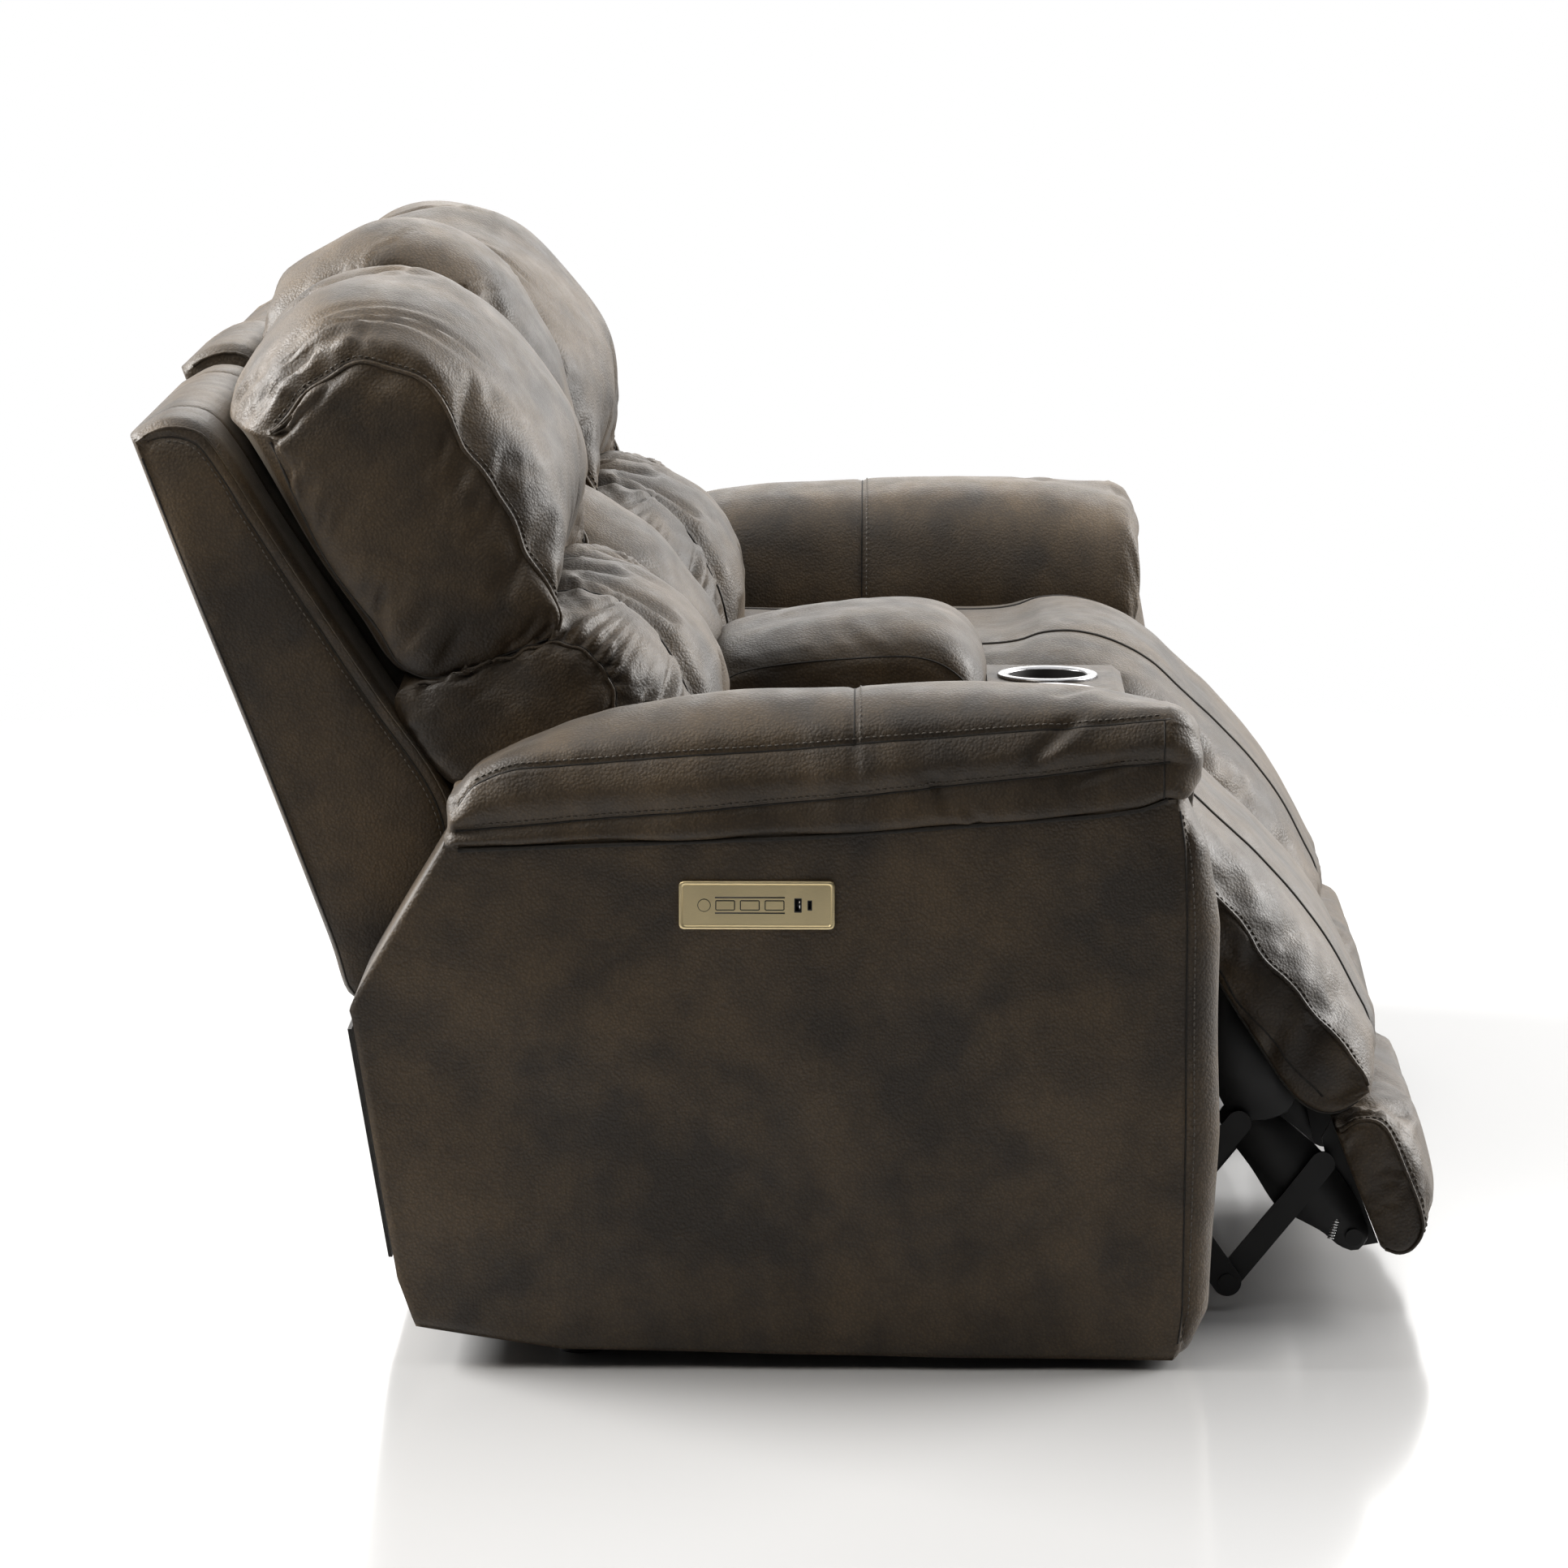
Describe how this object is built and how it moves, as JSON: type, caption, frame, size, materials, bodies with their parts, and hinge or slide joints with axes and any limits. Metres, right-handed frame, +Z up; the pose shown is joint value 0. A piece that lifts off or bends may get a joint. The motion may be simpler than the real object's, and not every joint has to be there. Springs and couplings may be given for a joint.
{
  "type": "reclining console loveseat",
  "caption": "Power reclining loveseat with a fixed storage console, padded arms, tilting headrests, sliding lumbar pads and scissor footrests.",
  "frame": {"origin": "centre of the footprint box, on the floor", "axes": "+X to the sitter's left, -Y is the front, +Z up"},
  "size_m": [2, 1.35, 1.07],
  "materials": {
    "leather": "matte brushed faux leather, fine pebble grain, mottled grey-brown",
    "black_steel": "black semi-gloss paint",
    "stainless": "polished stainless rim, brushed cup",
    "champagne_metal": "satin champagne anodised",
    "wood": "raw plywood",
    "dust_cloth": "thin non-woven dark cloth",
    "black_plastic": "moulded black plastic"
  },
  "bodies": {
    "root": {"arm_outer_panel_right": "leather", "arm_outer_panel_left": "leather", "arm_inner_panel_right": "leather", "arm_inner_panel_left": "leather", "arm_front_right": "leather", "arm_front_left": "leather", "arm_pad_right": "leather", "arm_pad_left": "leather", "arm_base_board_right": "wood", "arm_base_board_left": "wood", "control_plate_right": "champagne_metal", "control_plate_left": "champagne_metal", "base_rail_front": "black_steel", "base_rail_rear": "black_steel", "seat_runners": "black_steel", "rear_cover": "dust_cloth", "glide_feet": "black_plastic", "console_box": "leather", "console_tray": "leather", "cup_holders": "stainless", "console_back_shell": "leather", "console_back_pad": "leather", "power_inlet": "black_plastic"},
    "console_lid": {"console_lid": "leather"},
    "seat_right": {"seat_deck_right": "wood", "seat_cushion_right": "leather", "seat_side_plates_right": "black_steel", "seat_motors_right": "black_steel"},
    "back_right": {"back_shell_right": "leather"},
    "headrest_right": {"headrest_pillow_right": "leather"},
    "lumbar_right": {"lumbar_pad_right": "leather"},
    "chaise_right": {"chaise_pad_right": "leather"},
    "drive_link_right": {"drive_link_right": "black_steel"},
    "rear_link_right": {"rear_link_right": "black_steel"},
    "front_link_right": {"front_link_right": "black_steel"},
    "brace_link_right": {"brace_link_right": "black_steel"},
    "footrest_right": {"footrest_bracket_right": "black_steel", "footrest_pad_right": "leather"},
    "home_button_right": {"home_button_right": "champagne_metal"},
    "recline_rocker_right": {"recline_rocker_right": "champagne_metal"},
    "headrest_rocker_right": {"headrest_rocker_right": "champagne_metal"},
    "lumbar_rocker_right": {"lumbar_rocker_right": "champagne_metal"},
    "seat_left": {"seat_deck_left": "wood", "seat_cushion_left": "leather", "seat_side_plates_left": "black_steel", "seat_motors_left": "black_steel"},
    "back_left": {"back_shell_left": "leather"},
    "headrest_left": {"headrest_pillow_left": "leather"},
    "lumbar_left": {"lumbar_pad_left": "leather"},
    "chaise_left": {"chaise_pad_left": "leather"},
    "drive_link_left": {"drive_link_left": "black_steel"},
    "rear_link_left": {"rear_link_left": "black_steel"},
    "front_link_left": {"front_link_left": "black_steel"},
    "brace_link_left": {"brace_link_left": "black_steel"},
    "footrest_left": {"footrest_bracket_left": "black_steel", "footrest_pad_left": "leather"},
    "home_button_left": {"home_button_left": "champagne_metal"},
    "recline_rocker_left": {"recline_rocker_left": "champagne_metal"},
    "headrest_rocker_left": {"headrest_rocker_left": "champagne_metal"},
    "lumbar_rocker_left": {"lumbar_rocker_left": "champagne_metal"}
  },
  "joints": [
    {"name": "console_lid", "type": "hinge", "parent": "root", "child": "console_lid", "pos_m": [0, 0.08, 0.604], "axis": [-1, 0, 0], "range_deg": [0, 70]},
    {"name": "seat_slide_right", "type": "slide", "parent": "root", "child": "seat_right", "axis": [0, -1, 0], "range_m": [0, 0.076]},
    {"name": "back_recline_right", "type": "hinge", "parent": "seat_right", "child": "back_right", "pos_m": [-0.46, 0.37, 0.33], "axis": [-1, 0, 0], "range_deg": [0, 38]},
    {"name": "headrest_tilt_right", "type": "hinge", "parent": "back_right", "child": "headrest_right", "pos_m": [-0.46, 0.235, 0.76], "axis": [1, 0, 0], "range_deg": [0, 20]},
    {"name": "lumbar_push_right", "type": "slide", "parent": "back_right", "child": "lumbar_right", "axis": [0, -0.93, 0.3676], "range_m": [0, 0.025]},
    {"name": "footrest_drive_right", "type": "hinge", "parent": "seat_right", "child": "drive_link_right", "pos_m": [-0.46, -0.41, 0.32], "axis": [-1, 0, 0], "range_deg": [-32, 60]},
    {"name": "rear_link_pivot_right", "type": "hinge", "parent": "drive_link_right", "child": "rear_link_right", "pos_m": [-0.46, -0.405, 0.114], "axis": [-1, 0, 0], "range_deg": [-81.5, 43.7]},
    {"name": "front_link_pivot_right", "type": "hinge", "parent": "rear_link_right", "child": "front_link_right", "pos_m": [-0.46, -0.473, 0.198], "axis": [-1, 0, 0], "range_deg": [-43.7, 81.5]},
    {"name": "brace_link_pivot_right", "type": "hinge", "parent": "front_link_right", "child": "brace_link_right", "pos_m": [-0.46, -0.53, 0.116], "axis": [-1, 0, 0], "range_deg": [-81.5, 43.7]},
    {"name": "footrest_pivot_right", "type": "hinge", "parent": "front_link_right", "child": "footrest_right", "pos_m": [-0.46, -0.594, 0.076], "axis": [-1, 0, 0], "range_deg": [-3.5, 2.1]},
    {"name": "chaise_pivot_right", "type": "hinge", "parent": "seat_right", "child": "chaise_right", "pos_m": [-0.46, -0.478, 0.44], "axis": [-1, 0, 0], "range_deg": [-24.5, 45.5]},
    {"name": "home_button_right", "type": "slide", "parent": "root", "child": "home_button_right", "axis": [1, 0, 0], "range_m": [0, 0.0012], "stiffness_N_per_m": 300, "springref_m": -0.001},
    {"name": "recline_rocker_right", "type": "hinge", "parent": "root", "child": "recline_rocker_right", "pos_m": [-0.9906, 0.0513, 0.473], "axis": [0, 0, 1], "range_deg": [-3, 3], "stiffness_Nm_per_rad": 0.05},
    {"name": "headrest_rocker_right", "type": "hinge", "parent": "root", "child": "headrest_rocker_right", "pos_m": [-0.9906, 0.0269, 0.473], "axis": [0, 0, 1], "range_deg": [-3, 3], "stiffness_Nm_per_rad": 0.05},
    {"name": "lumbar_rocker_right", "type": "hinge", "parent": "root", "child": "lumbar_rocker_right", "pos_m": [-0.9906, 0.0024, 0.473], "axis": [0, 0, 1], "range_deg": [-3, 3], "stiffness_Nm_per_rad": 0.05},
    {"name": "seat_slide_left", "type": "slide", "parent": "root", "child": "seat_left", "axis": [0, -1, 0], "range_m": [0, 0.076]},
    {"name": "back_recline_left", "type": "hinge", "parent": "seat_left", "child": "back_left", "pos_m": [0.46, 0.37, 0.33], "axis": [-1, 0, 0], "range_deg": [0, 38]},
    {"name": "headrest_tilt_left", "type": "hinge", "parent": "back_left", "child": "headrest_left", "pos_m": [0.46, 0.235, 0.76], "axis": [1, 0, 0], "range_deg": [0, 20]},
    {"name": "lumbar_push_left", "type": "slide", "parent": "back_left", "child": "lumbar_left", "axis": [0, -0.93, 0.3676], "range_m": [0, 0.025]},
    {"name": "footrest_drive_left", "type": "hinge", "parent": "seat_left", "child": "drive_link_left", "pos_m": [0.46, -0.41, 0.32], "axis": [-1, 0, 0], "range_deg": [-32, 60]},
    {"name": "rear_link_pivot_left", "type": "hinge", "parent": "drive_link_left", "child": "rear_link_left", "pos_m": [0.46, -0.405, 0.114], "axis": [-1, 0, 0], "range_deg": [-81.5, 43.7]},
    {"name": "front_link_pivot_left", "type": "hinge", "parent": "rear_link_left", "child": "front_link_left", "pos_m": [0.46, -0.473, 0.198], "axis": [-1, 0, 0], "range_deg": [-43.7, 81.5]},
    {"name": "brace_link_pivot_left", "type": "hinge", "parent": "front_link_left", "child": "brace_link_left", "pos_m": [0.46, -0.53, 0.116], "axis": [-1, 0, 0], "range_deg": [-81.5, 43.7]},
    {"name": "footrest_pivot_left", "type": "hinge", "parent": "front_link_left", "child": "footrest_left", "pos_m": [0.46, -0.594, 0.076], "axis": [-1, 0, 0], "range_deg": [-3.5, 2.1]},
    {"name": "chaise_pivot_left", "type": "hinge", "parent": "seat_left", "child": "chaise_left", "pos_m": [0.46, -0.478, 0.44], "axis": [-1, 0, 0], "range_deg": [-24.5, 45.5]},
    {"name": "home_button_left", "type": "slide", "parent": "root", "child": "home_button_left", "axis": [-1, 0, 0], "range_m": [0, 0.0012], "stiffness_N_per_m": 300, "springref_m": -0.001},
    {"name": "recline_rocker_left", "type": "hinge", "parent": "root", "child": "recline_rocker_left", "pos_m": [0.9906, 0.0513, 0.473], "axis": [0, 0, 1], "range_deg": [-3, 3], "stiffness_Nm_per_rad": 0.05},
    {"name": "headrest_rocker_left", "type": "hinge", "parent": "root", "child": "headrest_rocker_left", "pos_m": [0.9906, 0.0269, 0.473], "axis": [0, 0, 1], "range_deg": [-3, 3], "stiffness_Nm_per_rad": 0.05},
    {"name": "lumbar_rocker_left", "type": "hinge", "parent": "root", "child": "lumbar_rocker_left", "pos_m": [0.9906, 0.0024, 0.473], "axis": [0, 0, 1], "range_deg": [-3, 3], "stiffness_Nm_per_rad": 0.05}
  ],
  "couplings": [
    {"joint": "seat_slide_right", "follows": "back_recline_right", "m_per_rad": 0.11308},
    {"joint": "rear_link_pivot_right", "follows": "footrest_drive_right", "ratio": -1.35},
    {"joint": "front_link_pivot_right", "follows": "footrest_drive_right", "ratio": 1.35},
    {"joint": "brace_link_pivot_right", "follows": "footrest_drive_right", "ratio": -1.35},
    {"joint": "footrest_pivot_right", "follows": "footrest_drive_right", "ratio": -0.05},
    {"joint": "chaise_pivot_right", "follows": "footrest_drive_right", "ratio": 0.75},
    {"joint": "seat_slide_left", "follows": "back_recline_left", "m_per_rad": 0.11308},
    {"joint": "rear_link_pivot_left", "follows": "footrest_drive_left", "ratio": -1.35},
    {"joint": "front_link_pivot_left", "follows": "footrest_drive_left", "ratio": 1.35},
    {"joint": "brace_link_pivot_left", "follows": "footrest_drive_left", "ratio": -1.35},
    {"joint": "footrest_pivot_left", "follows": "footrest_drive_left", "ratio": -0.05},
    {"joint": "chaise_pivot_left", "follows": "footrest_drive_left", "ratio": 0.75}
  ]
}
